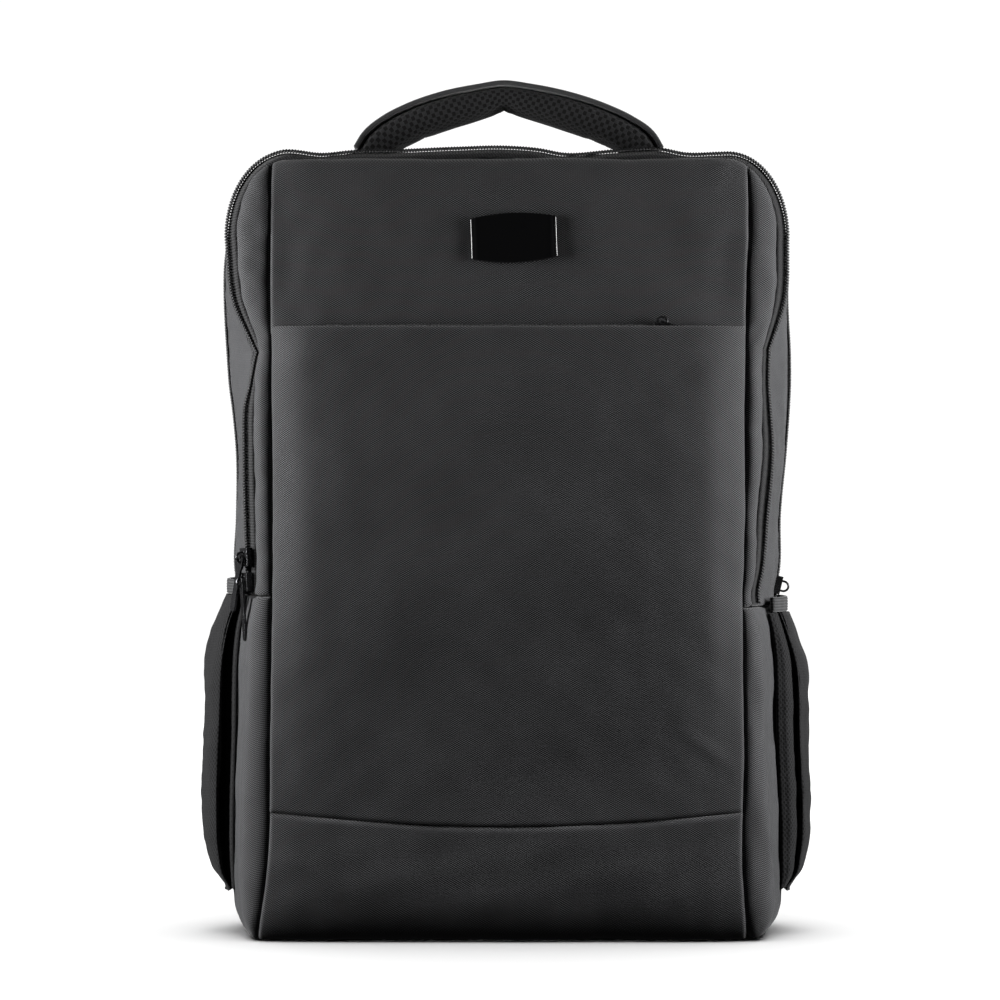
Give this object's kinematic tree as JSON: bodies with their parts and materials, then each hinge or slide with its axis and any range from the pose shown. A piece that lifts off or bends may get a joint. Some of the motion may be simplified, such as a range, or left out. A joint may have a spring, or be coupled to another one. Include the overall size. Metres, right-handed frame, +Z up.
{
  "type": "laptop backpack",
  "caption": "Upright charcoal laptop backpack with arched two-way zips, a front zip pocket, mesh side pockets, a padded top handle and padded shoulder straps.",
  "frame": {"origin": "on the floor under the middle of the base", "axes": "+Z up, -Y the front with the zip pocket, +X to the viewer's right when looking at the front"},
  "size_m": [0.3507, 0.1782, 0.4825],
  "materials": {
    "woven_fabric": "matte twill, charcoal",
    "mesh_fabric": "matte air mesh, black",
    "tape_and_elastic": "matte woven tape, black",
    "webbing": "matte ribbed webbing, black",
    "zip_coil": "satin, black",
    "zip_metal": "gunmetal, satin",
    "plastic": "satin, black",
    "gloss_plate": "high gloss, black"
  },
  "bodies": {
    "bag": {"front_upper_panel": "woven_fabric", "front_pocket_panel": "woven_fabric", "front_lower_panel": "woven_fabric", "front_strip_left": "woven_fabric", "front_strip_right": "woven_fabric", "side_panel_left": "woven_fabric", "side_panel_right": "woven_fabric", "bottom_panel": "woven_fabric", "front_zip_tape": "tape_and_elastic", "front_zip_coil": "zip_coil", "middle_gusset": "woven_fabric", "rear_zip_tape": "tape_and_elastic", "rear_zip_coil": "zip_coil", "rear_gusset": "woven_fabric", "back_panel": "mesh_fabric", "handle_grip": "mesh_fabric", "handle_cover": "woven_fabric", "name_plate": "gloss_plate", "main_slider_upper": "zip_metal", "main_slider_lower": "zip_metal", "pocket_zip_tape": "tape_and_elastic", "pocket_zip_coil": "zip_coil", "pocket_slider": "zip_metal", "rear_slider": "zip_metal", "side_pocket_left": "mesh_fabric", "side_pocket_right": "mesh_fabric", "pocket_band_left": "tape_and_elastic", "pocket_band_right": "tape_and_elastic", "strap_pad_left": "mesh_fabric", "strap_pad_right": "mesh_fabric", "strap_adjuster_left": "plastic", "strap_adjuster_right": "plastic", "strap_webbing_left": "webbing", "strap_webbing_right": "webbing", "strap_anchor_left": "woven_fabric", "strap_anchor_right": "woven_fabric"},
    "upper_pull": {"main_pull_upper": "zip_metal"},
    "lower_pull": {"main_pull_lower": "zip_metal"},
    "front_pull": {"pocket_pull": "zip_metal"}
  },
  "joints": [
    {"name": "upper_pull_hinge", "type": "hinge", "parent": "bag", "child": "upper_pull", "pos_m": [-0.14881, -0.04324, 0.21317], "axis": [-0.4939, 0.7812, 0.3818], "range_deg": [0, 160]},
    {"name": "lower_pull_hinge", "type": "hinge", "parent": "bag", "child": "lower_pull", "pos_m": [-0.14837, -0.04248, 0.19931], "axis": [-0.3704, 0.9286, -0.0219], "range_deg": [0, 105]},
    {"name": "front_pull_hinge", "type": "hinge", "parent": "bag", "child": "front_pull", "pos_m": [0.08579, -0.06968, 0.34377], "axis": [0, -1, 0], "range_deg": [0, 150]}
  ]
}
